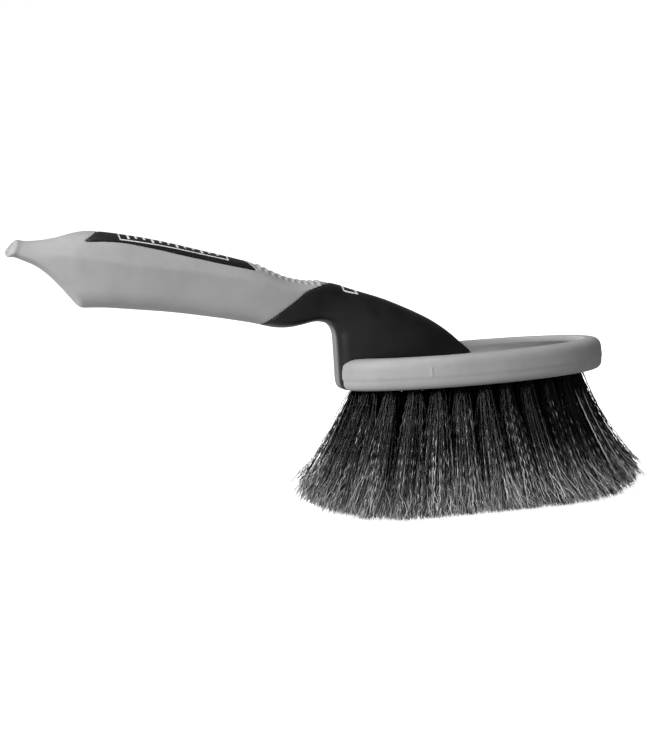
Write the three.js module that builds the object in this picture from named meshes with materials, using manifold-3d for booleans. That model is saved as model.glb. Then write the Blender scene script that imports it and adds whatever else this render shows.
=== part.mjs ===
// Wheel brush: a two-shot moulded handle and head with fibre tufts set in blind holes.
// Units are millimetres, +Z is up and +X runs from the handle to the nose of the head.
// The origin is the middle of the flat tip of the central tuft, under the middle of the head,
// and the XZ plane through it is the brush's plane of symmetry.

import * as THREE from 'three';
import { mergeVertices } from 'three/addons/utils/BufferGeometryUtils.js';
import Module from 'manifold-3d';

const wasm = await Module();
wasm.setup();

// ---- driving dimensions -------------------------------------------------------------

const GAP = 0.3;                      // clearance kept between neighbouring pieces

const HEAD_HALF_LENGTH = 61.5;        // outside of the soft bumper
const HEAD_HALF_WIDTH = 34;
const HEAD_BOTTOM = 56.7;             // face that the tufts come out of
const RIM_TOP = 70.9;                 // crest of the bumper's rim
const DISH_FLOOR = 69.9;              // soft floor inside the rim
const BLOCK_TOP = 68.6;               // hard block under that floor
const BUMPER_THICKNESS = 6.2;         // from the block's side to the outside
const SPINE_HALF_WIDTH = 4.6;         // back edge of the spine between the bumper's two ends
const SLOT_HALF_WIDTH = 7.8;          // room that the bumper's two ends leave for the spine

const GRIP_THICKNESS = 3;             // soft skin over the handle's hard core
const CORE_TAIL = -189;               // tail end of the hard core inside the grip
const HANDLE_EXPONENT = 2.4;          // superellipse of the handle's section
const PARTING_LINE = [[-94, 88], [-61, 105.5]];   // grip's front edge, in side view

const FIN_SHOULDER = 0.2;             // parts of the fin's length, from the spine to its tip
const FIN_WIDEST = 0.45;
const FIN_TAPER = 0.8;
const FIN_SHOULDER_SWELL = 0.65;      // how much of its full width it has at the shoulder
const FIN_TIP_HALF_WIDTH = 0.4;
const FIN_SIDE_STEPS = 12;

const RIDGE_COUNT = 10;               // thumb rest
const RIDGE_FIRST = -93.2;
const RIDGE_PITCH = 2.91;
const RIDGE_WIDTH = 1.5;
const RIDGE_HEIGHT = 0.8;
const RIDGE_HALF_SPAN = 8;
const RIDGE_DEPTH = 5;

const HOLE_RADIUS = 2.7;              // blind tuft holes in the block
const HOLE_TOP = 65.4;
const TUFT_RADIUS = 2.35;             // bundle where it enters its hole
const TUFT_FAN_RADIUS = 3.9;          // bundle at its tips, before the fan's own spread
const TUFT_SWELL = 0.6;               // power under 1: a bundle opens soon after its hole
const FAN_LENGTHWISE = 1.44;          // tip position over root position, along X
const FAN_CROSSWISE = 1.68;           // and along Y
const FAN_HALF_LENGTH = 76;
const FAN_HALF_WIDTH = 47;
const END_TIP_RISE = 6.5;             // how far tips at the ends of the head sit above Z = 0
const SIDE_TIP_RISE = 2;              // and those at its sides

const TUFT_SIDES = 8;
const RING_SIDES = 28;
const HEAD_SIDES = 64;
const REACH = 60;                     // longer than any cut that has to go right through
const MERGE_DISTANCE = 1e-4;

// Handle stations from the tail disc to inside the fin:
// [x, top, bottom, half width, lean of the section per mm of height]
const HANDLE_STATIONS = [
  [-202.6, 135.3, 127.6, 9.0, 0.67],
  [-197.8, 134.6, 125.9, 9.2, 0.5],
  [-190.0, 134.1, 121.8, 9.9, 0.15],
  [-182.3, 134.8, 115.9, 11.0, 0],
  [-175.6, 136.2, 104.2, 12.8, 0],
  [-173.2, 136.6, 102.9, 13.2, 0],
  [-166.2, 136.4, 102.6, 13.9, 0],
  [-150.0, 133.2, 100.4, 14.4, 0],
  [-134.6, 129.0, 98.0, 14.1, 0],
  [-118.5, 123.9, 94.8, 13.4, 0],
  [-102.9, 118.8, 91.3, 12.7, 0],
  [-94.0, 114.9, 88.9, 12.3, 0],
  [-87.1, 111.0, 87.2, 12.0, 0],
  [-81.8, 108.5, 86.9, 11.8, 0],
  [-76.5, 106.8, 87.4, 11.3, 0],
  [-71.1, 105.7, 88.3, 10.6, 0],
  [-65.7, 105.3, 88.6, 9.4, 0],
  [-60.3, 104.5, 90.0, 8.0, 0],
  [-50.0, 99.6, 93.0, 6.0, 0],
];

// Fin and rear spine, from the bottom up: [z, rear x, front x, rear half width, half width]
const FIN_STATIONS = [
  [HEAD_BOTTOM, -54.8, 0.2, SPINE_HALF_WIDTH, 13],
  [58.8, -58.4, 0.2, SPINE_HALF_WIDTH, 13],
  [61.6, -60.2, 0.2, SPINE_HALF_WIDTH, 13],
  [66.0, -60.9, 0.2, SPINE_HALF_WIDTH, 13],
  [DISH_FLOOR, -60.9, 0.2, SPINE_HALF_WIDTH, 13],
  [71.5, -60.9, -1.1, SPINE_HALF_WIDTH, 12.9],
  [74.5, -60.8, -4.2, SPINE_HALF_WIDTH, 12.7],
  [79.5, -60.8, -9.4, SPINE_HALF_WIDTH, 12.0],
  [84.0, -61.8, -15.3, 5.4, 11.0],
  [88.6, -66.0, -22.6, 6.6, 9.8],
  [92.2, -67.0, -30.1, 7.0, 8.6],
  [96.2, -66.0, -38.0, 6.2, 7.4],
  [99.7, -65.0, -48.1, 5.2, 6.0],
  [102.8, -64.0, -56.0, 4.0, 4.4],
];

// Top panel of the hard core seen from the side: its lower edge, then points above the handle
const PANEL_OUTLINE = [
  [-170.4, 132.8], [-162.4, 131.9], [-154.1, 130.5], [-142.8, 127.2], [-120.9, 120.5],
  [-95.3, 113.4], [-92.0, 115.4], [-92.0, 140], [-154.6, 140],
];

// Bumper from under its bottom edge over the rim to the dish:
// [inset from the outside, height as a part of the way from the bottom to the rim's crest]
const BUMPER_PROFILE = [
  [5.0, 0], [2.2, 0.03], [0.6, 0.16], [0, 0.4], [0.5, 0.68], [1.9, 0.88],
  [4.0, 0.98], [6.5, 1], [9.0, 0.98], [11.0, (DISH_FLOOR - HEAD_BOTTOM) / (RIM_TOP - HEAD_BOTTOM)],
];

// Elliptical rows of tufts: [name, half length, half width, count, phase in steps].
// Their rear halves run a little further out, towards the spine.
const REAR_STRETCH = 1.05;
const TUFT_RINGS = [
  ['outer', 49.5, 24, 24, 0],
  ['middle', 40.25, 15.3, 18, 0.5],
];

// Straight rows of tufts inside them: [name, y, count]
const TUFT_ROWS = [
  ['right', -7.2, 4],
  ['centre', 0, 7],
  ['left', 7.2, 4],
];
const ROW_PITCH = 9.4;

// ---- solids -------------------------------------------------------------------------

function toSolid(geometry) {
  const bare = geometry.clone();
  bare.deleteAttribute('normal');
  bare.deleteAttribute('uv');
  const merged = mergeVertices(bare, MERGE_DISTANCE);
  return new wasm.Manifold(new wasm.Mesh({
    numProp: 3,
    vertProperties: new Float32Array(merged.attributes.position.array),
    triVerts: new Uint32Array(merged.index.array),
  }));
}

function toGeometry(solid) {
  const mesh = solid.getMesh();
  const geometry = new THREE.BufferGeometry();
  geometry.setAttribute('position', new THREE.BufferAttribute(mesh.vertProperties, 3));
  geometry.setIndex(new THREE.BufferAttribute(mesh.triVerts, 1));
  geometry.computeVertexNormals();
  return geometry;
}

// Skin over a row of equal-sized rings, closed at both ends. A ring turns anticlockwise
// seen from the side that the row of rings goes to.
function loft(rings) {
  const sides = rings[0].length;
  const points = rings.flat();
  const index = [];
  for (let ring = 0; ring < rings.length - 1; ring++) {
    for (let side = 0; side < sides; side++) {
      const a = ring * sides + side;
      const b = ring * sides + (side + 1) % sides;
      index.push(a, b, b + sides, a, b + sides, a + sides);
    }
  }
  const last = (rings.length - 1) * sides;
  const middleOf = (ring) => ring
    .reduce((sum, point) => sum.add(point), new THREE.Vector3())
    .divideScalar(sides);
  const startMiddle = points.push(middleOf(rings[0])) - 1;
  const endMiddle = points.push(middleOf(rings[rings.length - 1])) - 1;
  for (let side = 0; side < sides; side++) {
    const next = (side + 1) % sides;
    index.push(startMiddle, next, side, endMiddle, last + side, last + next);
  }
  const geometry = new THREE.BufferGeometry().setFromPoints(points);
  geometry.setIndex(index);
  return geometry;
}

// Anticlockwise outline with every edge moved outwards by gap
function grownOutline(outline, gap) {
  const count = outline.length;
  const outward = (from, to) => {
    const edge = to.clone().sub(from).normalize();
    return new THREE.Vector2(edge.y, -edge.x);
  };
  return outline.map((point, i) => {
    const before = outward(outline[(i + count - 1) % count], point);
    const after = outward(point, outline[(i + 1) % count]);
    const middle = before.add(after);
    return point.clone().addScaledVector(middle, 2 * gap / middle.lengthSq());
  });
}

// Prism with its outline in side view, reaching the same way to both sides of the XZ plane
function sidePrism(outline, halfDepth) {
  const shape = new THREE.Shape(outline);
  const geometry = new THREE.ExtrudeGeometry(shape, { depth: 2 * halfDepth, bevelEnabled: false });
  geometry.rotateX(Math.PI / 2);
  geometry.translate(0, halfDepth, 0);
  return toSolid(geometry);
}

function ellipseRing(halfLength, halfWidth, z, sides, centre = new THREE.Vector2()) {
  const ring = [];
  for (let side = 0; side < sides; side++) {
    const angle = 2 * Math.PI * side / sides;
    const x = centre.x + halfLength * Math.cos(angle);
    const y = centre.y + halfWidth * Math.sin(angle);
    ring.push(new THREE.Vector3(x, y, z));
  }
  return ring;
}

// ---- handle -------------------------------------------------------------------------

// Handle section as a superellipse, made smaller all round by inset
function handleRing([x, top, bottom, halfWidth, lean], inset) {
  const middle = (top + bottom) / 2;
  const halfHeight = (top - bottom) / 2 - inset;
  const power = 2 / HANDLE_EXPONENT;
  const ring = [];
  for (let side = 0; side < RING_SIDES; side++) {
    const angle = 2 * Math.PI * side / RING_SIDES;
    const across = Math.sign(Math.cos(angle)) * Math.abs(Math.cos(angle)) ** power;
    const up = halfHeight * Math.sign(Math.sin(angle)) * Math.abs(Math.sin(angle)) ** power;
    ring.push(new THREE.Vector3(x + lean * up, (halfWidth - inset) * across, middle + up));
  }
  return ring;
}

function stationAt(x) {
  const next = HANDLE_STATIONS.findIndex((station) => station[0] > x);
  const [before, after] = [HANDLE_STATIONS[next - 1], HANDLE_STATIONS[next]];
  const part = (x - before[0]) / (after[0] - before[0]);
  return before.map((value, i) => THREE.MathUtils.lerp(value, after[i], part));
}

function handleSolid(inset, tail = HANDLE_STATIONS[0][0]) {
  const stations = HANDLE_STATIONS.filter((station) => station[0] > tail);
  stations.unshift(tail > HANDLE_STATIONS[0][0] ? stationAt(tail) : HANDLE_STATIONS[0]);
  return toSolid(loft(stations.map((station) => handleRing(station, inset))));
}

// Everything on the head's side of the grip's front edge, grown by gap
function headSide(gap) {
  const low = new THREE.Vector2(...PARTING_LINE[0]);
  const high = new THREE.Vector2(...PARTING_LINE[1]);
  const along = high.clone().sub(low).setLength(REACH);
  const toHead = new THREE.Vector2(along.y, -along.x);
  const start = low.sub(along);
  const end = high.add(along);
  const corners = [start, start.clone().add(toHead), end.clone().add(toHead), end];
  return sidePrism(grownOutline(corners, gap), REACH);
}

// Space of the top panel, grown by gap
function panelSpace(gap) {
  const outline = PANEL_OUTLINE.map(([x, z]) => new THREE.Vector2(x, z));
  return sidePrism(grownOutline(outline, gap), REACH);
}

function thumbRidges() {
  const raised = handleSolid(-RIDGE_HEIGHT);
  const bars = [];
  for (let i = 0; i < RIDGE_COUNT; i++) {
    const x = RIDGE_FIRST + i * RIDGE_PITCH;
    const bar = new THREE.BoxGeometry(RIDGE_WIDTH, 2 * RIDGE_HALF_SPAN, 2 * RIDGE_DEPTH);
    bar.translate(x, 0, stationAt(x)[1]);
    bars.push(toSolid(bar));
  }
  return bars.reduce((all, bar) => all.add(bar)).intersect(raised);
}

// ---- head ---------------------------------------------------------------------------

// Level section of the fin: blunt at the rear spine, widest before the middle, pointed ahead
function finRing([z, rear, front, rearHalfWidth, halfWidth], gap) {
  const side = new THREE.SplineCurve([
    new THREE.Vector2(0, rearHalfWidth),
    new THREE.Vector2(FIN_SHOULDER,
      THREE.MathUtils.lerp(rearHalfWidth, halfWidth, FIN_SHOULDER_SWELL)),
    new THREE.Vector2(FIN_WIDEST, halfWidth),
    new THREE.Vector2(FIN_TAPER, halfWidth / 2),
    new THREE.Vector2(1, FIN_TIP_HALF_WIDTH),
  ]).getPoints(FIN_SIDE_STEPS);
  const place = ({ x, y }, sign) => new THREE.Vector3(
    THREE.MathUtils.lerp(rear - gap, front + gap, x), sign * (y + gap), z);
  const right = side.map((point) => place(point, -1));
  const left = side.map((point) => place(point, 1));
  return [...right, ...left.reverse()];
}

function finSolid(gap) {
  return toSolid(loft(FIN_STATIONS.map((station) => finRing(station, gap))));
}

// Oval head block; grown by gap it also runs out through the bumper's open underside
function blockSolid(gap) {
  const halfLength = HEAD_HALF_LENGTH - BUMPER_THICKNESS + gap;
  const halfWidth = HEAD_HALF_WIDTH - BUMPER_THICKNESS + gap;
  const bottom = gap > 0 ? HEAD_BOTTOM - BUMPER_THICKNESS : HEAD_BOTTOM;
  return toSolid(loft([
    ellipseRing(halfLength, halfWidth, bottom, HEAD_SIDES),
    ellipseRing(halfLength, halfWidth, BLOCK_TOP + gap, HEAD_SIDES),
  ]));
}

// ---- tufts --------------------------------------------------------------------------

// Every tuft as { name, root }: two elliptical rows round three short straight ones
function tuftPlan() {
  const plan = [];
  for (const [row, halfLength, halfWidth, count, phase] of TUFT_RINGS) {
    const curve = new THREE.EllipseCurve(0, 0, halfLength, halfWidth, 0, 2 * Math.PI);
    for (let i = 0; i < count; i++) {
      const root = curve.getPointAt((i + phase) / count);
      root.x *= root.x < 0 ? REAR_STRETCH : 1;
      plan.push({ name: `tuft_${row}_${String(i + 1).padStart(2, '0')}`, root });
    }
  }
  for (const [row, y, count] of TUFT_ROWS) {
    for (let i = 0; i < count; i++) {
      const root = new THREE.Vector2((i - (count - 1) / 2) * ROW_PITCH, y);
      plan.push({ name: `tuft_${row}_${i + 1}`, root });
    }
  }
  return plan;
}

// Section of a tuft, from spread 0 at the head's face to spread 1 at its tips. Rows that
// are apart at the roots stay apart, because the whole field of roots is only stretched.
function tuftRing(root, z, spread) {
  const lengthwise = THREE.MathUtils.lerp(1, FAN_LENGTHWISE, spread);
  const crosswise = THREE.MathUtils.lerp(1, FAN_CROSSWISE, spread);
  const radius = THREE.MathUtils.lerp(TUFT_RADIUS, TUFT_FAN_RADIUS, spread ** TUFT_SWELL);
  const centre = new THREE.Vector2(root.x * lengthwise, root.y * crosswise);
  return ellipseRing(radius * lengthwise, radius * crosswise, z, TUFT_SIDES, centre);
}

function tuftGeometry(root) {
  const tip = END_TIP_RISE * (root.x * FAN_LENGTHWISE / FAN_HALF_LENGTH) ** 6
    + SIDE_TIP_RISE * (root.y * FAN_CROSSWISE / FAN_HALF_WIDTH) ** 4;
  const levels = [
    [tip, 1],
    [THREE.MathUtils.lerp(HEAD_BOTTOM, tip, 0.5), 0.5],
    [HEAD_BOTTOM - GAP, 0],
    [HOLE_TOP - GAP, 0],
  ];
  return loft(levels.map(([z, spread]) => tuftRing(root, z, spread)));
}

function tuftHoles(plan) {
  const bottom = HEAD_BOTTOM - REACH / 2;
  const holes = plan.map(({ root }) => toSolid(loft([
    ellipseRing(HOLE_RADIUS, HOLE_RADIUS, bottom, TUFT_SIDES, root),
    ellipseRing(HOLE_RADIUS, HOLE_RADIUS, HOLE_TOP, TUFT_SIDES, root),
  ])));
  return holes.reduce((all, hole) => all.add(hole));
}

// ---- sub-parts ----------------------------------------------------------------------

// One hard moulding: core of the handle with its top panel, neck, fin, spine and head block
function handleCore(plan) {
  const outside = handleSolid(0);
  const solid = handleSolid(GRIP_THICKNESS, CORE_TAIL)
    .add(outside.intersect(headSide(0)))
    .add(outside.intersect(panelSpace(0)))
    .add(finSolid(0))
    .add(blockSolid(0))
    .subtract(tuftHoles(plan));
  return toGeometry(solid);
}

// Soft skin over the handle, open at the front edge and at the top panel
function gripSleeve() {
  const solid = handleSolid(0)
    .add(thumbRidges())
    .subtract(handleSolid(GRIP_THICKNESS - GAP, CORE_TAIL - GAP))
    .subtract(headSide(GAP))
    .subtract(panelSpace(GAP));
  return toGeometry(solid);
}

// Soft rim and dish floor, a horseshoe open at the rear for the spine
function headBumper() {
  const rings = BUMPER_PROFILE.map(([inset, part]) => ellipseRing(
    HEAD_HALF_LENGTH - inset, HEAD_HALF_WIDTH - inset,
    THREE.MathUtils.lerp(HEAD_BOTTOM, RIM_TOP, part), HEAD_SIDES));
  const rear = new THREE.BoxGeometry(
    2 * BUMPER_THICKNESS, 2 * SLOT_HALF_WIDTH, REACH);
  rear.translate(-HEAD_HALF_LENGTH, 0, HEAD_BOTTOM);
  const solid = toSolid(loft(rings))
    .subtract(blockSolid(GAP))
    .subtract(finSolid(GAP))
    .subtract(toSolid(rear));
  return toGeometry(solid);
}

// ---- materials ----------------------------------------------------------------------

function hardPlastic() {
  return new THREE.MeshStandardMaterial({ color: 0x1e1e20, roughness: 0.42, metalness: 0 });
}

function softGrip() {
  return new THREE.MeshStandardMaterial({ color: 0xa3a4a5, roughness: 0.62, metalness: 0 });
}

function softRim() {
  return new THREE.MeshStandardMaterial({ color: 0x9c9d9f, roughness: 0.58, metalness: 0 });
}

function fibre() {
  return new THREE.MeshStandardMaterial({ color: 0x2a2a2c, roughness: 0.55, metalness: 0 });
}

// ---- assembly -----------------------------------------------------------------------

function named(name, geometry, material) {
  const mesh = new THREE.Mesh(geometry, material);
  mesh.name = name;
  return mesh;
}

function wheelBrush() {
  const plan = tuftPlan();
  const brush = new THREE.Group();
  brush.add(named('handle_core', handleCore(plan), hardPlastic()));
  brush.add(named('grip_sleeve', gripSleeve(), softGrip()));
  brush.add(named('head_bumper', headBumper(), softRim()));
  for (const { name, root } of plan) {
    brush.add(named(name, tuftGeometry(root), fibre()));
  }
  return brush;
}

export default wheelBrush();
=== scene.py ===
"""Wheel brush: moulded skins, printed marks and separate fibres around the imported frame."""

import math

import bpy
import numpy as np
from mathutils import Matrix, Vector

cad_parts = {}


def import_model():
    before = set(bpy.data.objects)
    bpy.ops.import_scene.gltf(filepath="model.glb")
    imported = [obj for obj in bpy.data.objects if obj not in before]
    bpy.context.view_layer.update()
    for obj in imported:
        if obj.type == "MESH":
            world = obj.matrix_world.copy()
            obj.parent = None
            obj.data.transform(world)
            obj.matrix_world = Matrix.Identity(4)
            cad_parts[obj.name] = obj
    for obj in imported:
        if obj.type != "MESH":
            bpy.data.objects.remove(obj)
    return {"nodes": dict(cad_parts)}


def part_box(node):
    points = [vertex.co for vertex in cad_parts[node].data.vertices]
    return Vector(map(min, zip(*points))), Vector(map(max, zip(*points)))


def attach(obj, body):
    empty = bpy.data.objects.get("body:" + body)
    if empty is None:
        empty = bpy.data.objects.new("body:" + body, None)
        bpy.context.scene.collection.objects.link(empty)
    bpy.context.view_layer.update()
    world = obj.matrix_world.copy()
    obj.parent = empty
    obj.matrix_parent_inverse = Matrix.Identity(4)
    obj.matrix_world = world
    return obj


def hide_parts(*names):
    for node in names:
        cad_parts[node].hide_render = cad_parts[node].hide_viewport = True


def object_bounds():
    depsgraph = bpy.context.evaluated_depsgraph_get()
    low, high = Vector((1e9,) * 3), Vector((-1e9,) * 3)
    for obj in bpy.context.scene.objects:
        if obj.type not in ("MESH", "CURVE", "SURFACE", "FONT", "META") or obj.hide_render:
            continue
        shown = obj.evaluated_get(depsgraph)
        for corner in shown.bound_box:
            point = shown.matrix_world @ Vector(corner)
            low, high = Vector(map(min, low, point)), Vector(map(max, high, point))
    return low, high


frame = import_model()
CAD_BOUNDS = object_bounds()

# ---- sizes, in millimetres until a mesh is made ---------------------------------------

MM = 0.001
VOXEL = 0.5       # grid step of the moulded surfaces
GROOVE = 0.04                            # half of the fine gap between two mouldings


def box_mm(node):
    low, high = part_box(node)
    return np.array(low) / MM, np.array(high) / MM


BUMPER_LOW, BUMPER_HIGH = box_mm("head_bumper")
CORE_LOW, CORE_HIGH = box_mm("handle_core")
_, GRIP_HIGH = box_mm("grip_sleeve")
HEAD_A, HEAD_B = BUMPER_HIGH[0], BUMPER_HIGH[1]    # half length and half width of the head
HEAD_BOTTOM, RIM_TOP = BUMPER_LOW[2], BUMPER_HIGH[2]
BUMPER_THICK = HEAD_A - CORE_HIGH[0]
BUMPER_TOP_ROUND, BUMPER_BOTTOM_ROUND = 4.6, 4.2
DISH_DEPTH = 2.6
DISH_INSET = 7.8                         # from the bumper's outline to the hollow's wall
DISH_SHADE_INSET = 7.6                         # and to the edge of the painted shade that lies in it
PARTING_HEIGHT = HEAD_BOTTOM + 0.36 * (RIM_TOP - HEAD_BOTTOM)
GATE = (-25.5, 64.4)                     # moulding gate mark on the bumper's side
BLOCK_TOP = RIM_TOP - 3.5
GRIP_THICK = 3.0
SPINE_HALF = 7.5
SPINE_REAR = -60.9
SPINE_ROUND = 5.0
SLOT_HALF = SPINE_HALF - 1.2             # the spine itself cuts the rest of the bumper's slot
SLOT_FRONT = -48.0

# Handle seen from the side, tail to neck: x, top, crease, bottom of the grip, half width
HANDLE = np.array([
    [-206.0, 135.6, 131.6, 103.0, 9.0],
    [-201.6, 135.0, 131.2, 103.0, 9.0],
    [-191.8, 134.1, 129.4, 103.1, 9.9],
    [-182.0, 134.8, 127.7, 103.3, 11.6],
    [-176.2, 136.0, 126.6, 103.2, 12.8],
    [-170.5, 136.7, 125.4, 102.9, 13.5],
    [-166.2, 136.4, 124.3, 102.6, 13.9],
    [-150.0, 133.2, 120.5, 100.4, 14.4],
    [-134.6, 129.0, 117.7, 98.0, 14.1],
    [-118.5, 123.9, 114.4, 94.8, 13.4],
    [-102.9, 118.9, 110.8, 91.3, 12.7],
    [-97.6, 117.1, 109.4, 90.0, 12.5],
    [-92.4, 114.3, 108.0, 88.4, 12.3],
    [-87.1, 111.3, 106.6, 87.1, 12.0],
    [-81.8, 108.7, 105.0, 86.7, 11.7],
    [-76.5, 107.0, 103.4, 87.2, 11.2],
    [-71.1, 106.0, 102.2, 88.1, 10.5],
    [-65.7, 105.7, 101.3, 88.6, 9.4],
    [-60.3, 104.5, 100.0, 89.6, 8.2],
    [-50.0, 99.6, 96.4, 91.0, 6.4],
])
# Underside of the tail, which meets the grip's in a corner: x, z
TAIL_BOTTOM = np.array([
    [-206.0, 128.6], [-202.0, 127.7], [-197.0, 125.5], [-191.8, 122.7], [-186.8, 118.6],
    [-182.0, 113.4], [-174.8, 104.4], [-168.0, 95.8], [-50.0, -60.0],
])
HANDLE_END = -50.0
SIDE_LEAN = math.radians(3.5)            # lower side leans in towards the bottom
FACET_LEAN = math.radians(34)            # facet over the crease
TAIL_LEAN = math.radians(33.7)           # end face of the tail
TAIL_END = (-202.9, 131.5)               # a point of it
TAIL_BEAD = 0.5

# Top edge of the fin: x, z, and the fin's half width at the dish: x, half width
FIN_TOP = np.array([
    [-67.0, 105.5], [-60.9, 104.4], [-54.2, 102.0], [-48.1, 99.8], [-37.7, 95.8], [-30.1, 92.2],
    [-22.5, 88.2], [-17.4, 85.2], [-12.3, 81.6], [-7.3, 77.4], [-3.4, 73.6], [-1.1, 71.4],
    [1.2, 69.0],
])
FIN_HALF = np.array([
    [-67.0, 7.2], [-61.2, 7.5], [-55.0, 9.4], [-45.0, 12.1], [-35.0, 13.0], [-25.0, 11.8],
    [-15.0, 8.3], [-8.0, 4.9], [-3.0, 2.2], [1.2, 0.5],
])
FIN_POWER = 2.5                          # of its superelliptic section

# Front edge of the grip and lower edge of the top panel, in side view
GRIP_FRONT = np.array([
    [-112.0, 77.0], [-96.5, 88.0], [-91.4, 91.3], [-85.7, 94.8], [-79.6, 98.6], [-74.3, 102.1],
    [-70.5, 103.1], [-66.0, 104.0], [-61.0, 105.0], [-50.0, 107.2],
])
PANEL_EDGE = np.array([
    [-180.0, 132.5], [-170.3, 132.0], [-162.4, 131.4], [-154.1, 130.2], [-142.8, 127.2],
    [-124.6, 121.6], [-110.0, 117.3], [-94.0, 112.8], [-85.0, 110.2],
])
PANEL_LEFT = (-170.5, 132.7)             # its slanted rear end
PANEL_LEFT_LEAN = 2.2
PANEL_RIGHT = -98.8                      # and its hollow front end, on the centre line
PANEL_RIGHT_HOLLOW = 8.5

INK_PROUD = 0.1
PRINT_X = (-155.0, -107.6)               # printed frame on the panel, with bars in it
PRINT_HALF = 5.5
PRINT_BARS = 12
NECK_MARK_X = (-56.3, -50.5)             # small printed frame on the neck
NECK_MARK_HALF = 5.2

RIDGES = -93.2 + 2.91 * np.arange(10)    # thumb rest
RIDGE_HEIGHT = 0.8
RIDGE_HALF_WIDTH = 0.7
RIDGE_SPAN = 6.2


# ---- distance fields ------------------------------------------------------------------

def smooth_line(x, points, column=1):
    """Height of a smooth curve through points at x."""
    xs, ys = points[:, 0], points[:, column]
    slope = np.gradient(ys, xs)
    i = np.clip(np.searchsorted(xs, x) - 1, 0, len(xs) - 2)
    step = xs[i + 1] - xs[i]
    t = np.clip((x - xs[i]) / step, 0, 1)
    a = (2 * t ** 3 - 3 * t ** 2 + 1) * ys[i] + (t ** 3 - 2 * t ** 2 + t) * step * slope[i]
    b = (3 * t ** 2 - 2 * t ** 3) * ys[i + 1] + (t ** 3 - t ** 2) * step * slope[i + 1]
    return a + b


def smooth_max(a, b, k):
    h = np.clip(0.5 + 0.5 * (a - b) / k, 0, 1)
    return b + (a - b) * h + k * h * (1 - h)


def smooth_min(a, b, k):
    return -smooth_max(-a, -b, k)


class Space:
    """Half of a regular grid, on the +Y side of the plane of symmetry."""

    def __init__(self, low, high, step):
        self.step = step
        self.low = np.array([low[0], 0, low[2]], float)
        counts = [int(math.ceil((high[i] - self.low[i]) / step)) + 1 for i in range(3)]
        axes = [self.low[i] + step * np.arange(counts[i]) for i in range(3)]
        self.line_x = axes[0]
        self.line_y = axes[1]
        self.x = axes[0].astype(np.float32)[:, None, None]
        self.y = axes[1].astype(np.float32)[None, :, None]
        self.z = axes[2].astype(np.float32)[None, None, :]

    def along(self, points, column=1):
        """A curve's height and steepness, for every x of the grid."""
        height = smooth_line(self.line_x, points, column)
        steep = np.sqrt(1 + np.gradient(height, self.line_x) ** 2)
        return height.astype(np.float32)[:, None, None], steep.astype(np.float32)[:, None, None]

    def true_distance(self, field):
        """Turns a smooth field that isn't a distance into one, near its surface."""
        slopes = np.gradient(field, self.step)
        steep = np.sqrt(slopes[0] ** 2 + slopes[1] ** 2 + slopes[2] ** 2)
        return field / np.maximum(steep, 1e-3)


def handle_field(s):
    """Whole outer shape of the handle, from the tail to inside the fin."""
    top, top_steep = s.along(HANDLE, 1)
    crease, _ = s.along(HANDLE, 2)
    bottom, bottom_steep = s.along(HANDLE, 3)
    half, _ = s.along(HANDLE, 4)
    depth = top - bottom
    side = (s.y - half) * math.cos(SIDE_LEAN) + (crease - s.z) * math.sin(SIDE_LEAN)
    facet = (s.y - half) * math.cos(FACET_LEAN) + (s.z - crease) * math.sin(FACET_LEAN)
    across = (s.y / half) ** 2
    roof = (s.z - top + 0.1 * depth * across) / top_steep
    floor = (bottom - s.z + 0.13 * depth * across) / bottom_steep
    slope, slope_steep = s.along(TAIL_BOTTOM)
    tail_floor = (slope - s.z + 2.0 * across) / slope_steep
    d = smooth_max(side, facet, 0.6)
    d = smooth_max(d, roof, 0.22 * depth)
    d = smooth_max(d, floor, np.minimum(0.18 * depth, 5))
    d = smooth_max(d, tail_floor, 1.2)
    return smooth_max(d, s.x - HANDLE_END, 3)


def tail_plane(s):
    """Slanted end face of the tail; negative on the handle's side."""
    x, z = TAIL_END
    return -((s.x - x) * math.cos(TAIL_LEAN) - (s.z - z) * math.sin(TAIL_LEAN))


def head_side(s):
    """Negative on the head's side of the grip's front edge."""
    edge, steep = s.along(GRIP_FRONT)
    return (s.z - edge) / steep


def panel_space(s):
    """Negative in the window of the grip that the top panel fills."""
    edge, steep = s.along(PANEL_EDGE)
    below = (edge - s.z) / steep
    lean = math.hypot(1, PANEL_LEFT_LEAN)
    behind = ((PANEL_LEFT[0] + PANEL_LEFT_LEAN * (s.z - PANEL_LEFT[1])) - s.x) / lean
    ahead = s.x - PANEL_RIGHT - PANEL_RIGHT_HOLLOW * (s.y / 11) ** 2
    d = smooth_max(below, behind, 1.2)
    return smooth_max(d, ahead, 1.0)


def ridge_height(s):
    """How far the thumb ridges stand out of the grip."""
    wave = sum(np.exp(-((s.x - r) / RIDGE_HALF_WIDTH) ** 4) for r in RIDGES)
    fade = np.clip((RIDGE_SPAN + 0.8 - s.y) / 1.6, 0, 1)
    crease, _ = s.along(HANDLE, 2)
    return RIDGE_HEIGHT * wave * fade * (s.z > crease)


def fin_field(s):
    """Shark-fin web over the head, with the upright spine behind it."""
    top, _ = s.along(FIN_TOP)
    half, _ = s.along(FIN_HALF)
    base = RIM_TOP - DISH_DEPTH
    up = np.maximum(s.z - base, 0) / np.maximum(top - base, 0.8)
    raw = ((s.y / half) ** FIN_POWER + up ** FIN_POWER) ** (1 / FIN_POWER) - 1
    d = smooth_max(s.true_distance(raw.astype(np.float32)), s.x - FIN_TOP[-1, 0], 0.4)
    foot = smooth_max(SPINE_REAR - s.x, HEAD_BOTTOM - s.z, SPINE_ROUND)
    return smooth_max(d, foot, SPINE_ROUND)


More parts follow.
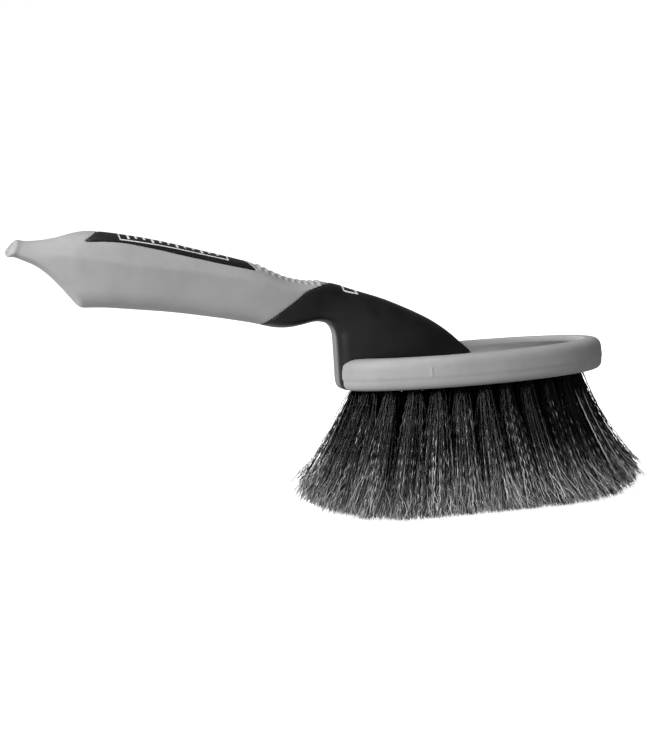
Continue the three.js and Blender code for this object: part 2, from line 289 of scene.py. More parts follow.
def ellipse_distance(s):
    """Distance to the bumper's outline in plan, negative inside."""
    angle = np.linspace(0, math.pi, 1441)
    px, py = HEAD_A * np.cos(angle), HEAD_B * np.sin(angle)
    x, y = np.meshgrid(s.line_x, s.line_y, indexing="ij")
    nearest = np.full(x.shape, 1e9)
    for qx, qy in zip(px, py):
        nearest = np.minimum(nearest, (x - qx) ** 2 + (y - qy) ** 2)
    inside = (x / HEAD_A) ** 2 + (y / HEAD_B) ** 2 < 1
    return (np.sqrt(nearest) * np.where(inside, -1, 1)).astype(np.float32)[:, :, None]


def block_field(s, outline):
    """Oval block that holds the tufts, inside the bumper."""
    d = smooth_max(outline + BUMPER_THICK, s.z - BLOCK_TOP, 0.8)
    return smooth_max(d, HEAD_BOTTOM - s.z, 0.6)


def hole_field(s, tufts):
    """Blind holes with a cone-shaped end, one for each tuft."""
    x, y = np.meshgrid(s.line_x, s.line_y, indexing="ij")
    nearest = np.full(x.shape, 1e9)
    for tuft in tufts:
        nearest = np.minimum(nearest, np.hypot(x - tuft["root"][0], y - tuft["root"][1]))
    wall = (nearest - tufts[0]["hole"]).astype(np.float32)[:, :, None]
    end = (s.z - tufts[0]["top"] + 0.5 * (wall + tufts[0]["hole"])) * 0.9
    return smooth_max(wall, end, 0.5)


def bumper_field(s, outline, core):
    """Soft rim and dish floor, with a parting step, a gate mark and the spine's slot."""
    middle = HEAD_BOTTOM + 0.45 * (RIM_TOP - HEAD_BOTTOM)
    side = outline + 0.04 * np.maximum(s.z - middle, 0)
    step = 0.3 / (1 + np.exp((s.z - PARTING_HEIGHT) / 0.12))
    d = smooth_max(side + step, HEAD_BOTTOM - s.z, BUMPER_BOTTOM_ROUND)
    d = smooth_max(d, s.z - RIM_TOP, BUMPER_TOP_ROUND)
    gate = np.maximum(np.abs(s.x - GATE[0]) - 0.35, np.abs(s.z - GATE[1]) - 2.2)
    d = smooth_min(d, np.maximum(gate, np.abs(outline) - 0.3), 0.3)
    dish = smooth_max(outline + DISH_INSET, RIM_TOP - DISH_DEPTH - s.z, 3.0)
    d = smooth_max(d, -dish, 1.2)
    slot = np.maximum(s.y - SLOT_HALF, s.x - SLOT_FRONT)
    d = smooth_max(d, -slot, 1.2)
    return smooth_max(d, GROOVE - core, 0.5)


# ---- meshes ---------------------------------------------------------------------------

def mirrored(field):
    return np.concatenate([field[:, :0:-1], field], axis=1)


def surface_net(field, low, step):
    """Quads over the zero surface of a field that is negative inside."""
    shape = np.array(field.shape) - 1
    cells, points, quads = [], [], []
    inside = field < 0
    for a in range(3):
        b, c = (a + 1) % 3, (a + 2) % 3
        lower = [slice(None)] * 3
        upper = [slice(None)] * 3
        lower[a], upper[a] = slice(None, -1), slice(1, None)
        at = np.argwhere(inside[tuple(lower)] != inside[tuple(upper)])
        ahead = at.copy()
        ahead[:, a] += 1
        v0, v1 = field[tuple(at.T)], field[tuple(ahead.T)]
        place = at.astype(float)
        place[:, a] += v0 / (v0 - v1)
        corners = []
        for db, dc in ((-1, -1), (0, -1), (0, 0), (-1, 0)):
            cell = at.copy()
            cell[:, b] += db
            cell[:, c] += dc
            corners.append(np.ravel_multi_index(cell.T, shape, mode="clip"))
            cells.append(corners[-1])
            points.append(place)
        quad = np.stack(corners, 1)
        quads.append(np.where((v0 < 0)[:, None], quad, quad[:, ::-1]))
    used, which = np.unique(np.concatenate(cells), return_inverse=True)
    points = np.concatenate(points)
    count = np.bincount(which)
    vertices = np.stack([np.bincount(which, points[:, i]) / count for i in range(3)], 1)
    faces = np.searchsorted(used, np.concatenate(quads))
    return low + vertices * step, faces


def evened(vertices, faces, rounds=3):
    """Smooths out the grid's ripple without shrinking the shape."""
    edges = np.concatenate([faces[:, [i, (i + 1) % 4]] for i in range(4)])
    a, b = edges[:, 0], edges[:, 1]
    total = len(vertices)
    degree = np.maximum(np.bincount(a, minlength=total), 1)[:, None]
    for i in range(2 * rounds):
        mean = np.stack([np.bincount(a, vertices[b, k], total) for k in range(3)], 1) / degree
        vertices = vertices + (0.5 if i % 2 == 0 else -0.52) * (mean - vertices)
    return vertices


def new_mesh(name, vertices, faces, material, smooth=True):
    """A mesh object from arrays in millimetres; faces all have the same number of corners."""
    mesh = bpy.data.meshes.new(name)
    corners = faces.shape[1]
    mesh.vertices.add(len(vertices))
    mesh.vertices.foreach_set("co", (vertices * MM).astype(np.float32).ravel())
    mesh.loops.add(faces.size)
    mesh.loops.foreach_set("vertex_index", faces.astype(np.int32).ravel())
    mesh.polygons.add(len(faces))
    mesh.polygons.foreach_set("loop_start", np.arange(0, faces.size, corners, dtype=np.int32))
    mesh.polygons.foreach_set("use_smooth", np.full(len(faces), smooth))
    mesh.update(calc_edges=True)
    mesh.validate()
    piece = bpy.data.objects.new(name, mesh)
    bpy.context.scene.collection.objects.link(piece)
    piece.data.materials.append(material)
    return piece


def moulded_piece(name, field, space, material):
    low = np.array([space.low[0], -space.line_y[-1], space.low[2]])
    vertices, faces = surface_net(mirrored(field), low, space.step)
    return new_mesh(name, evened(vertices, faces), faces, material)


def added(piece, slot, *nodes):
    """Joins a piece to the brush, in the place of its CAD nodes."""
    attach(piece, "root")
    if nodes:
        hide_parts(*nodes)
    return piece


# ---- materials ------------------------------------------------------------------------

def new_material(name, roughness, specular=0.5):
    """A node material, its node tree and its shader."""
    material = bpy.data.materials.new(name)
    material.use_nodes = True
    shader = material.node_tree.nodes["Principled BSDF"]
    shader.inputs["Roughness"].default_value = roughness
    shader.inputs["Specular IOR Level"].default_value = specular
    return material, material.node_tree, shader


def noise(tree, scale, detail=4.0, rough=0.55):
    where = tree.nodes.new("ShaderNodeTexCoord")
    texture = tree.nodes.new("ShaderNodeTexNoise")
    texture.inputs["Scale"].default_value = scale
    texture.inputs["Detail"].default_value = detail
    texture.inputs["Roughness"].default_value = rough
    tree.links.new(where.outputs["Object"], texture.inputs["Vector"])
    return texture.outputs["Fac"]


def ramp(tree, value, stops):
    node = tree.nodes.new("ShaderNodeValToRGB")
    while len(node.color_ramp.elements) < len(stops):
        node.color_ramp.elements.new(0.5)
    for element, (place, colour) in zip(node.color_ramp.elements, stops):
        element.position = place
        element.color = (*colour, 1)
    tree.links.new(value, node.inputs["Fac"])
    return node.outputs["Color"]


def grey(value):
    return (value, value, value)


def math_node(tree, operation, first, second):
    node = tree.nodes.new("ShaderNodeMath")
    node.operation = operation
    tree.links.new(first, node.inputs[0])
    tree.links.new(second, node.inputs[1])
    return node


def ranged(tree, value, low, high, start=0.0):
    node = tree.nodes.new("ShaderNodeMapRange")
    node.inputs["From Min"].default_value = start
    node.inputs["To Min"].default_value = low
    node.inputs["To Max"].default_value = high
    tree.links.new(value, node.inputs["Value"])
    return node.outputs["Result"]


def bump(tree, shader, height, strength, distance):
    node = tree.nodes.new("ShaderNodeBump")
    node.inputs["Strength"].default_value = strength
    node.inputs["Distance"].default_value = distance
    tree.links.new(height, node.inputs["Height"])
    tree.links.new(node.outputs["Normal"], shader.inputs["Normal"])


def soft_touch(name, level, hollow=None):
    """Grey soft moulding: faint mottling, spark-eroded grain, satin gloss that varies; hollow, if
    given, adds painted shade.
    """
    material, tree, shader = new_material(name, 0.55, 0.4)
    mottle = noise(tree, 55, 5, 0.6)
    colour = ramp(tree, mottle, [(0.3, grey(level * 0.9)), (0.7, grey(level * 1.08))])
    if hollow:
        colour = hollow(tree, colour)
    tree.links.new(colour, shader.inputs["Base Color"])
    tree.links.new(ranged(tree, noise(tree, 130, 3), 0.46, 0.64), shader.inputs["Roughness"])
    bump(tree, shader, noise(tree, 2600, 2, 0.5), 0.12, 0.0002)
    return material


def painted_dish_shade(tree, colour):
    """Painted shade in the bumper's hollow, darkest towards the head's front."""
    where = tree.nodes.new("ShaderNodeTexCoord")
    scaled = tree.nodes.new("ShaderNodeVectorMath")
    scaled.operation = "MULTIPLY"
    scaled.inputs[1].default_value = (
        1 / (HEAD_A - DISH_SHADE_INSET) / MM, 1 / (HEAD_B - DISH_SHADE_INSET) / MM, 0)
    tree.links.new(where.outputs["Object"], scaled.inputs[0])
    radius = tree.nodes.new("ShaderNodeVectorMath")
    radius.operation = "LENGTH"
    tree.links.new(scaled.outputs[0], radius.inputs[0])
    inside = ranged(tree, radius.outputs["Value"], 1.0, 0.0, 0.94)
    along = tree.nodes.new("ShaderNodeSeparateXYZ")
    tree.links.new(scaled.outputs[0], along.inputs[0])
    darker_forward = ranged(tree, along.outputs["X"], 0.0, 1.1, -0.3)
    streaks = ranged(tree, noise(tree, 120, 4, 0.6), 0.75, 1.15, 0.3)
    # film is the mask of the painted shade: inside the hollow, stronger towards the front, patchy
    film = math_node(tree, "MULTIPLY", inside, darker_forward)
    patchy_shade = math_node(tree, "MULTIPLY", film.outputs[0], streaks)
    patchy_shade.use_clamp = True
    mix = tree.nodes.new("ShaderNodeMix")
    mix.data_type = "RGBA"
    tree.links.new(patchy_shade.outputs[0], mix.inputs["Factor"])
    tree.links.new(colour, mix.inputs[6])
    mix.inputs[7].default_value = (*grey(0.04), 1)
    return mix.outputs[2]


def hard_plastic():
    """Black moulded polypropylene with fine grain and a satin gloss."""
    material, tree, shader = new_material("core_black", 0.36, 0.3)
    cloud = noise(tree, 70, 4, 0.6)
    tree.links.new(
        ramp(tree, cloud, [(0.3, grey(0.005)), (0.75, grey(0.012))]),
        shader.inputs["Base Color"])
    tree.links.new(ranged(tree, noise(tree, 160, 4), 0.3, 0.44), shader.inputs["Roughness"])
    bump(tree, shader, noise(tree, 2200, 2, 0.5), 0.15, 0.0002)
    return material


def fibre_material():
    """Black fibre coloured by its tone attribute: a tone of its own that pales towards its split
    end, with painted glints along the crimp and painted shade near the root.
    """
    material, tree, shader = new_material("fibre", 0.28, 0.22)
    tone = tree.nodes.new("ShaderNodeAttribute")
    tone.attribute_name = "tone"
    tree.links.new(
        ramp(tree, tone.outputs["Fac"], [
            (0.0, grey(0.001)), (0.25, grey(0.004)), (0.6, grey(0.17)), (1.0, grey(0.8))]),
        shader.inputs["Base Color"])
    tree.links.new(ranged(tree, noise(tree, 900, 2), 0.2, 0.36), shader.inputs["Roughness"])
    return material


def ink_material():
    material, tree, shader = new_material("print_ink", 0.5, 0.4)
    tree.links.new(
        ramp(tree, noise(tree, 700, 3), [(0.25, grey(0.62)), (0.6, grey(0.8))]),
        shader.inputs["Base Color"])
    return material


def wire_material():
    material, tree, shader = new_material("anchor_wire", 0.35)
    shader.inputs["Metallic"].default_value = 1.0
    tree.links.new(
        ramp(tree, noise(tree, 900, 3), [(0.3, grey(0.5)), (0.7, grey(0.66))]),
        shader.inputs["Base Color"])
    return material


# ---- tufts ----------------------------------------------------------------------------

def tuft_nodes():
    """Root, tip and spread of every tuft, read from its CAD solid."""
    tufts = []
    for name, node in sorted(frame["nodes"].items()):
        if not name.startswith("tuft_"):
            continue
        co = np.array([v.co for v in node.data.vertices]) / MM
        root_ring = co[co[:, 2] > co[:, 2].max() - 0.5]
        tip_ring = co[co[:, 2] < co[:, 2].min() + 0.5]
        centre = (root_ring.max(0) + root_ring.min(0)) / 2
        tip = (tip_ring.max(0) + tip_ring.min(0)) / 2
        radius = (root_ring.max(0) - root_ring.min(0))[0] / 2
        tufts.append({
            "name": name, "root": centre, "tip": tip,
            "radius": radius, "hole": radius + HOLE_CLEARANCE,
            "top": co[:, 2].max() + TUFT_CLEARANCE,
            "spread": (tip_ring.max(0) - tip_ring.min(0))[:2] / 2})
    return tufts


FIBRES_PER_TUFT = 135
FIBRE_STEPS, SPLIT_STEPS = 27, 6
FIBRE_RADIUS, SPLIT_RADIUS = 0.23, 0.12
SPLITS = 2                               # fine strands that each fibre ends in
HOLE_CLEARANCE = 0.35
TUFT_CLEARANCE = 0.3                     # over the CAD tuft's top
SIDE_REFERENCE = np.array([0.36, 0.93, 0.1])
EARLY_SHARE = 0.15                       # fibres that spread as soon as they are out
EARLY_POWER, LATE_POWER = 0.25, 0.68
CURVE_FRONT, CURVE_REAR = 1.55, 1.3      # how late the tufts fan out
TIP_TAPER = 0.4
# the last share is of fibres that get painted glints along their crimp
LIGHT_SHARE, PALE_SHARE, GLINT_SHARE = 0.12, 0.008, 0.5
CLUMPS = 16                              # strands of each tuft that curl together
CRIMP_LENGTH = 5.4                       # one wave of the crimp
CRIMP_SIZE = 0.36
FAN_REAR, FAN_FRONT, FAN_SIDE = 86.0, 74.5, 46.5   # how far the tips reach from the centre
RISE_REAR, RISE_FRONT, RISE_SIDE = 12.0, 6.5, 2.0  # height of the outermost tips
LOOSE_REAR, LOOSE_FRONT = 13, 5                    # and how much more some of them rise
HELD_FROM = 0.97                                   # share of the reach where tips bunch up


def tubes(paths, radii):
    """Three-sided tubes along paths (fibres, steps, 3); radii are per step."""
    count, steps, _ = paths.shape
    along = np.gradient(paths, axis=1)
    along /= np.linalg.norm(along, axis=2, keepdims=True)
    side = np.cross(along, SIDE_REFERENCE)
    side /= np.linalg.norm(side, axis=2, keepdims=True)
    other = np.cross(along, side)
    angle = 2 * math.pi * np.arange(3) / 3
    ring = (side[:, :, None] * np.cos(angle)[None, None, :, None]
            + other[:, :, None] * np.sin(angle)[None, None, :, None])
    vertices = paths[:, :, None] + ring * radii[..., None, None]
    index = np.arange(count * steps * 3).reshape(count, steps, 3)
    quads = []
    for i in range(3):
        j = (i + 1) % 3
        quads.append(np.stack([
            index[:, :-1, i], index[:, :-1, j], index[:, 1:, j], index[:, 1:, i]], 2))
    quads = np.concatenate(quads).reshape(-1, 4)
    faces = np.concatenate([quads[:, [0, 1, 2]], quads[:, [0, 2, 3]]])
    ends = np.concatenate([index[:, 0, ::-1], index[:, -1]])
    return vertices.reshape(-1, 3), np.concatenate([faces, ends])


def fibre_paths(rng, tuft, root, tip, bow, clump):
    """Fibres straight out of the hole, then fanned, bowed and crimped; and their wave."""
    count = len(root)
    t = np.linspace(0, 1, FIBRE_STEPS)[None, :, None]
    drop = (root - tip)[:, None, 2:]
    inside = np.clip((root[:, None, 2:] - HEAD_BOTTOM) / drop, 0, 0.9)
    free = np.clip((t - inside) / (1 - inside), 0, 1)
    curve = CURVE_FRONT if tuft["tip"][0] > 0 else CURVE_REAR
    axis = tuft["root"][:2] + (tuft["tip"] - tuft["root"])[:2] * free ** curve
    early = rng.uniform(0, 1, (count, 1, 1)) < EARLY_SHARE
    opened = free ** np.where(early, EARLY_POWER, LATE_POWER)
    offset = ((root[:, :2] - tuft["root"][:2])[:, None] * (1 - opened)
              + (tip[:, :2] - tuft["tip"][:2])[:, None] * opened)
    paths = np.concatenate([axis + offset, root[:, None, 2:] - drop * t], 2)
    paths[:, :, :2] += bow[:, None] * free * (1 - free)
    turns = tuft["top"] / CRIMP_LENGTH * rng.uniform(0.8, 1.25, CLUMPS)[clump]
    start = rng.uniform(0, 1, CLUMPS)[clump] + rng.normal(0, 0.07, count)
    phase = 2 * math.pi * (turns[:, None, None] * t + start[:, None, None])
    heading = rng.uniform(0, 2 * math.pi, CLUMPS)[clump] + rng.normal(0, 0.4, count)
    across = np.stack([np.cos(heading), np.sin(heading)], 1)[:, None]
    size = CRIMP_SIZE * rng.uniform(0.5, 1.2, (count, 1, 1))
    paths[:, :, :2] += size * np.clip(free * 12, 0, 1) * across * np.sin(phase)
    return paths, np.sin(phase)[:, :, 0]


def fibre_splits(rng, paths, tone):
    """Fine strands that leave each fibre over its last stretch, in loose directions."""
    count = len(paths)
    rows = np.arange(count)
    start_at = (FIBRE_STEPS - 1) * rng.uniform(0.70, 0.9, count)
    k = start_at.astype(int)
    part = (start_at - k)[:, None]
    start = paths[rows, k] * (1 - part) + paths[rows, k + 1] * part
    end = paths[:, -1].copy()
    end[:, :2] += rng.normal(0, 2.4, (count, 2))
    end[:, 2] += np.abs(rng.normal(0, 2.2, count))
    t = np.linspace(0, 1, SPLIT_STEPS)[None, :, None]
    strands = start[:, None] * (1 - t) + end[:, None] * t
    curl = rng.normal(0, 1.3, (count, 1, 3)) * [1, 1, 0.3]
    strands += curl * t * (1 - t) * 2 + 0.25 * np.sin(9 * t + rng.uniform(0, 6, (count, 1, 3)))
    strands[:, :, 2] = np.maximum(strands[:, :, 2], paths[:, -1, 2][:, None] * 0.6)
    radii = np.full((count, SPLIT_STEPS), SPLIT_RADIUS)
    radii[:, -1] *= TIP_TAPER
    vertices, faces = tubes(strands, radii)
    paler = rng.uniform(0.0, 0.75, (count, 1)) + np.linspace(0, 0.2, SPLIT_STEPS)
    tones = tone[:, None] + paler
    return vertices, faces, np.repeat(tones.ravel(), 3)


def tuft_tips(rng, tuft, disc):
    """Where the fibres of a tuft end."""
    count = len(disc)
    blend = 0.62 * disc + 0.48 * rng.normal(0, 0.8, disc.shape)
    flat = tuft["tip"][:2] + blend * tuft["spread"] * 1.35
    stray = rng.uniform(0, 1, count) < 0.05
    flat += stray[:, None] * rng.normal(0, 4.0, (count, 2))
    reach = np.where(flat[:, :1] < 0, [[FAN_REAR, FAN_SIDE]], [[FAN_FRONT, FAN_SIDE]])
    edge = np.linalg.norm(flat / reach, axis=1)
    held = np.where(edge > HELD_FROM, HELD_FROM + 0.45 * (edge - HELD_FROM), edge)
    flat *= (held / np.maximum(edge, 1e-6))[:, None]
    at = flat / reach
    rise = np.where(flat[:, 0] < 0, RISE_REAR, RISE_FRONT) * np.abs(at[:, 0]) ** 6
    rise += RISE_SIDE * np.abs(at[:, 1]) ** 4 + np.abs(rng.normal(0, 0.6, count))
    rise += 22 * np.clip(held - 1.0, 0, 1)
    loose = np.where(at[:, 0] < 0, LOOSE_REAR, LOOSE_FRONT)
    rise += rng.uniform(0, 1, count) * loose * np.abs(at[:, 0]) ** 6
    return np.column_stack([flat, rise])


def fibre_tones(rng, clump):
    """Each fibre's own tone, and which few are pale from end to end."""
    count = len(clump)
    tone = 0.25 * rng.beta(1.0, 2.6, CLUMPS)[clump] + 0.2 * rng.beta(1.0, 3.0, count)
    tone += (rng.uniform(0, 1, count) < LIGHT_SHARE) * rng.uniform(0.2, 0.5, count)
    pale = rng.uniform(0, 1, count) < PALE_SHARE
    tone = np.where(pale, rng.uniform(0.95, 1.2, count), tone)
    return tone, pale


def tuft_mesh(tuft, material, seed):
    """One tuft's fibres as a mesh, with their tones, painted glints and painted shade near the
    roots as an attribute.
    """
    rng = np.random.default_rng(seed)
    count = FIBRES_PER_TUFT
    angle = rng.uniform(0, 2 * math.pi, count)
    reach = np.sqrt(rng.uniform(0, 1, count))
    disc = np.stack([reach * np.cos(angle), reach * np.sin(angle)], 1)
    root = np.zeros((count, 3))
    root[:, :2] = tuft["root"][:2] + disc * (tuft["radius"] - FIBRE_RADIUS)
    root[:, 2] = tuft["top"] - 0.6 - rng.uniform(0, 1.5, count)
    tip = tuft_tips(rng, tuft, disc)
    bow = rng.normal(0, 1.6, (count, 2)) + 0.05 * tip[:, :2] * [1, 0.5]
    clump = np.argmin(np.linalg.norm(disc[:, None] - disc[None, :CLUMPS], axis=2), axis=1)
    paths, wave = fibre_paths(rng, tuft, root, tip, bow, clump)
    tone, pale = fibre_tones(rng, clump)
    radii = np.full((count, FIBRE_STEPS), FIBRE_RADIUS)
    radii *= np.linspace(1.05, 0.75, FIBRE_STEPS) * rng.uniform(0.8, 1.25, (count, 1))
    radii *= np.where(pale, 1.5, 1.0)[:, None]
    radii[:, -1] *= TIP_TAPER
    vertices, faces = tubes(paths, radii)
    down = np.linspace(0, 1, FIBRE_STEPS)
    # painted glints: lighter tone on the crests of the crimp's wave
    shine = (rng.uniform(0, 1, count) < GLINT_SHARE) * rng.uniform(0.45, 1.25, count)
    glint = shine[:, None] * np.clip(1.6 * wave - 0.5, 0, 1) * (0.75 + 0.25 * down)
    # painted shade: fibres darkened near their roots, where the bumper's shadow falls
    shade = np.clip(8 * down - 1.6, 0, 1) * (0.6 + 0.4 * down)
    # some fibres paler at random over their lower part
    paler_below = rng.uniform(0, 0.7, (count, 1)) * np.clip(2.8 * down - 1.3, 0, 1)
    tones = (tone[:, None] + paler_below + glint) * shade
    parts = [(vertices, faces, np.repeat(tones.ravel(), 3))]
    parts += [fibre_splits(rng, paths, tone) for _ in range(SPLITS)]
    starts = np.cumsum([0] + [len(part[0]) for part in parts])
    piece = new_mesh(tuft["name"] + "_fibres", np.concatenate([part[0] for part in parts]),
                     np.concatenate([part[1] + first for part, first in zip(parts, starts)]),
                     material)
    tones = np.clip(np.concatenate([part[2] for part in parts]), 0, 1).astype(np.float32)
    attribute = piece.data.attributes.new("tone", "FLOAT", "POINT")
    attribute.data.foreach_set("value", tones)
    return piece


# ---- the brush ------------------------------------------------------------------------

def moulded_head_and_handle(tufts):
    """The black moulding, the grip, the bumper and the marks, cut from one set of fields."""
    space = Space([CORE_LOW[0] - 18, 0, HEAD_BOTTOM - 1.5],
                  [HEAD_A + 1.5, HEAD_B + 1.5, GRIP_HIGH[2] + 2], VOXEL)
    handle = handle_field(space)
    fin = fin_field(space)
    outline = ellipse_distance(space)
    fillet = 1.0 + 9.0 * np.clip((101 - space.z) / 8, 0, 1)
    neck = smooth_min(smooth_max(handle, head_side(space), 0.5), fin, fillet)
    panel = smooth_max(handle, panel_space(space), 0.6)
    inside = np.maximum(handle + GRIP_THICK, CORE_LOW[0] - space.x)
    web = np.minimum(np.minimum(neck, panel), inside)
    block = block_field(space, outline)
    core = np.minimum(web, block)
    holes = hole_field(space, tufts)
    moulded_core = moulded_piece(
        "core_moulding", smooth_max(core, -holes, 0.4), space, hard_plastic())
    added(moulded_core, "core_plastic", "handle_core")

    end = tail_plane(space)
    skin = handle - ridge_height(space) - TAIL_BEAD * np.exp(-((end + 0.8) / 1.5) ** 2)
    skin = smooth_max(skin, end, 1.4)
    recess = np.maximum(handle + 0.9, -1.0 - end)
    skin = smooth_max(skin, -recess, 0.5)
    skin = smooth_max(skin, GROOVE - web, 0.3)
    skin = smooth_max(skin, -head_side(space), 0.6)
    grip = moulded_piece("grip_skin", skin, space, soft_touch("grip_grey", 0.36))
    added(grip, "grip_soft", "grip_sleeve")

    printed_marks(core, space)
    rim = bumper_field(space, outline, core)
    # the bumper's material carries painted shade in its dish
    bumper = moulded_piece("bumper_skin", rim, space,
                           soft_touch("bumper_grey", 0.34, painted_dish_shade))
    added(bumper, "bumper_soft", "head_bumper")


def column_height(field, space, i, j):
    """Height of a solid's upper surface in columns of the grid."""
    columns = field[i, j]
    top = field.shape[2] - 2 - np.argmax(columns[:, ::-1][:, 1:] < 0, axis=1)
    rows = np.arange(len(i))
    v0, v1 = columns[rows, top], columns[rows, top + 1]
    return space.low[2] + space.step * (top + v0 / (v0 - v1))


def surface_height(field, space, x, y):
    """Height of a solid's upper surface over points in plan, between the grid's columns."""
    across, along = (x - space.low[0]) / space.step, np.abs(y) / space.step
    i, j = across.astype(int), along.astype(int)
    u, v = across - i, along - j
    near = column_height(field, space, i, j) * (1 - u) + column_height(field, space, i + 1, j) * u
    far = (column_height(field, space, i, j + 1) * (1 - u)
           + column_height(field, space, i + 1, j + 1) * u)
    return near * (1 - v) + far * v


def printed_strip(start, end, width, field, space):
    """A closed film of ink that follows the surface below it, from start to end in plan."""
    start, end = np.array(start, float), np.array(end, float)
    length = np.linalg.norm(end - start)
    count = max(2, int(length / space.step) + 1)
    along = (end - start) / length
    across = np.array([-along[1], along[0]]) * width / 2
    middle = start + (end - start) * np.linspace(0, 1, count)[:, None]
    plan = np.concatenate([middle - across, middle + across])
    top = surface_height(field, space, plan[:, 0], plan[:, 1])
    upper = np.column_stack([plan, top + INK_PROUD])
    lower = np.column_stack([plan, top - INK_PROUD])
    i = np.arange(count - 1)
    a, b = i, i + count
    c, d = a + 2 * count, b + 2 * count
    quads = [np.stack([a, a + 1, b + 1, b], 1), np.stack([c, d, d + 1, c + 1], 1),
             np.stack([a, c, c + 1, a + 1], 1), np.stack([b, b + 1, d + 1, d], 1)]
    ends = np.array([[0, count, 3 * count, 2 * count],
                     [count - 1, 3 * count - 1, 4 * count - 1, 2 * count - 1]])
    return np.concatenate([upper, lower]), np.concatenate(quads + [ends])


def outline_strips(low, high, width):
    """The four sides of a rectangle in plan."""
    (x0, y0), (x1, y1) = low, high
    half = width / 2
    return [((x0 - half, y0), (x1 + half, y0), width), ((x0 - half, y1), (x1 + half, y1), width),
            ((x0, y0), (x0, y1), width), ((x1, y0), (x1, y1), width)]


def printed_marks(core, space):
    """A plain scale of bars on the panel and an empty frame on the neck."""
    strips = outline_strips((PRINT_X[0], -PRINT_HALF), (PRINT_X[1], PRINT_HALF), 0.5)
    for i, x in enumerate(np.linspace(PRINT_X[0] + 4, PRINT_X[1] - 4, PRINT_BARS)):
        half = PRINT_HALF - (1.0 if i % 3 == 0 else 2.2)
        strips.append(((x, -half), (x, half), 1.0))
    strips += outline_strips((NECK_MARK_X[0], -NECK_MARK_HALF),
                             (NECK_MARK_X[1], NECK_MARK_HALF), 0.75)
    vertices, faces, first = [], [], 0
    for start, end, width in strips:
        points, quads = printed_strip(start, end, width, core, space)
        vertices.append(points)
        faces.append(quads + first)
        first += len(points)
    marks = new_mesh("printed_marks", np.concatenate(vertices), np.concatenate(faces),
                     ink_material(), False)
    added(marks, "print_ink")


def wire_anchors(tufts):
    """Flat wire pressed across the bottom of every hole, over the middle of the fibres."""
    corners = np.array([[x, y, z] for x in (-1, 1) for y in (-1, 1) for z in (-1, 1)], float)
    corners *= np.array([tufts[0]["hole"] - 0.1, 0.25, 1.0])
    box = np.array([[0, 1, 3, 2], [4, 6, 7, 5], [0, 4, 5, 1],
                    [2, 3, 7, 6], [0, 2, 6, 4], [1, 5, 7, 3]])
    vertices = np.concatenate([
        corners + [tuft["root"][0], tuft["root"][1], tuft["top"] - 1.6] for tuft in tufts])
    faces = np.concatenate([box + 8 * i for i in range(len(tufts))])
    anchors = new_mesh("wire_anchors", vertices, faces, wire_material(), False)
    bevel = anchors.modifiers.new("edges", "BEVEL")
    bevel.width = 0.12 * MM
    bevel.segments = 2
    added(anchors, "anchor_wire")


def bristles(tufts):
    """A mesh of fibres in place of each CAD tuft."""
    material = fibre_material()
    for seed, tuft in enumerate(tufts):
        added(tuft_mesh(tuft, material, seed), "bristle_fibre", tuft["name"])


# ---- stage ----------------------------------------------------------------------------

VIEW_YAW = math.radians(14)
VIEW_PITCH = math.radians(6)
VIEW_ROLL = math.radians(3.7)
VIEW_DISTANCE = 2.0
VIEW_SHIFT = Vector((-0.0019, 0, -0.0042))
SKY = (0.64, 0.16)                       # light from below and from above
SKY_LOW = -0.3                           # height at which it starts to dim
SKY_FRONT = 0.25                         # share of it that comes from in front of the head
GLOW = 1.8                               # screen at the back left
GLOW_DIRECTION = (-0.45, 0.89, 0)
GLOW_EDGE = 0.84                         # cosine of its half angle
LAMP_AIM = Vector((-0.05, 0, 0.08))
LENS = 217.2


def camera():
    """Long lens beside the brush, towards the tail and a little above, slightly rolled."""
    low, high = (Vector(corner) for corner in CAD_BOUNDS)
    aim = Vector(((low.x + high.x) / 2, 0, (low.z + high.z) / 2)) + VIEW_SHIFT
    back = Vector((-math.sin(VIEW_YAW) * math.cos(VIEW_PITCH),
                   -math.cos(VIEW_YAW) * math.cos(VIEW_PITCH), math.sin(VIEW_PITCH)))
    right = Vector((math.cos(VIEW_YAW), -math.sin(VIEW_YAW), 0))
    up = back.cross(right)
    rolled_right = right * math.cos(VIEW_ROLL) - up * math.sin(VIEW_ROLL)
    rolled_up = right * math.sin(VIEW_ROLL) + up * math.cos(VIEW_ROLL)
    data = bpy.data.cameras.new("camera")
    data.lens = LENS
    data.sensor_width = 36
    data.clip_end = 50
    item = bpy.data.objects.new("camera", data)
    turn = Matrix((rolled_right, rolled_up, back)).transposed().to_4x4()
    item.matrix_world = Matrix.Translation(aim + back * VIEW_DISTANCE) @ turn
    bpy.context.scene.collection.objects.link(item)
    bpy.context.scene.camera = item


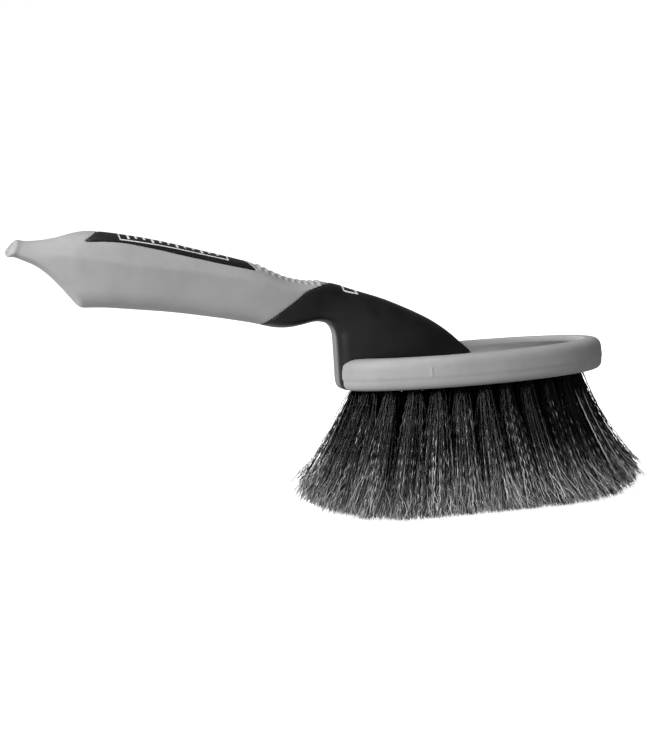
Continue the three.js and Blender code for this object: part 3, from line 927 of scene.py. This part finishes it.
def floor():
    """White sweep that glows a little, so that it stays white wherever the light falls off."""
    material, tree, shader = new_material("floor_white", 0.9, 0.1)
    shader.inputs["Base Color"].default_value = (0.75, 0.75, 0.75, 1)
    shader.inputs["Emission Color"].default_value = (1, 1, 1, 1)
    shader.inputs["Emission Strength"].default_value = 0.95
    corners = np.array([[-1, -1, 0], [1, -1, 0], [1, 1, 0], [-1, 1, 0]], float) * 12000
    corners[:, 2] = -0.6
    item = new_mesh("floor", corners, np.array([[0, 1, 2, 3]]), material, False)
    item.visible_diffuse = item.visible_glossy = False


def world():
    """White seen directly; as light, a dim sky with a bright screen at the back left."""
    item = bpy.data.worlds.new("studio")
    bpy.context.scene.world = item
    item.use_nodes = True
    tree = item.node_tree
    background = tree.nodes["Background"]
    background.inputs["Color"].default_value = (1, 1, 1, 1)
    where = tree.nodes.new("ShaderNodeTexCoord")
    towards = tree.nodes.new("ShaderNodeVectorMath")
    towards.operation = "DOT_PRODUCT"
    towards.inputs[1].default_value = GLOW_DIRECTION
    tree.links.new(where.outputs["Generated"], towards.inputs[0])
    split = tree.nodes.new("ShaderNodeSeparateXYZ")
    tree.links.new(where.outputs["Generated"], split.inputs[0])
    shaded = math_node(tree, "MULTIPLY", ranged(tree, split.outputs["Z"], *SKY, SKY_LOW),
                       ranged(tree, split.outputs["X"], 1.0, SKY_FRONT))
    sky = math_node(tree, "ADD", shaded.outputs[0],
                    ranged(tree, towards.outputs["Value"], 0.0, GLOW, GLOW_EDGE))
    path = tree.nodes.new("ShaderNodeLightPath")
    mix = tree.nodes.new("ShaderNodeMix")
    tree.links.new(path.outputs["Is Camera Ray"], mix.inputs[0])
    tree.links.new(sky.outputs[0], mix.inputs[2])
    mix.inputs[3].default_value = 1.0
    tree.links.new(mix.outputs[0], background.inputs["Strength"])


def lamp(name, place, size, power):
    data = bpy.data.lights.new(name, "AREA")
    data.shape = "RECTANGLE"
    data.size, data.size_y = size
    data.energy = power
    item = bpy.data.objects.new(name, data)
    item.location = place
    item.rotation_euler = (LAMP_AIM - Vector(place)).to_track_quat("-Z", "Y").to_euler()
    bpy.context.scene.collection.objects.link(item)


def lights():
    world()
    lamp("left_softbox", (-1.7, -1.0, 1.0), (1.0, 1.0), 47)
    lamp("top_softbox", (-0.2, 0.0, 1.3), (1.0, 0.6), 6)


def view_settings():
    bpy.context.scene.view_settings.view_transform = "Standard"


camera()
tufts = tuft_nodes()
moulded_head_and_handle(tufts)
bristles(tufts)
wire_anchors(tufts)
floor()
lights()
view_settings()
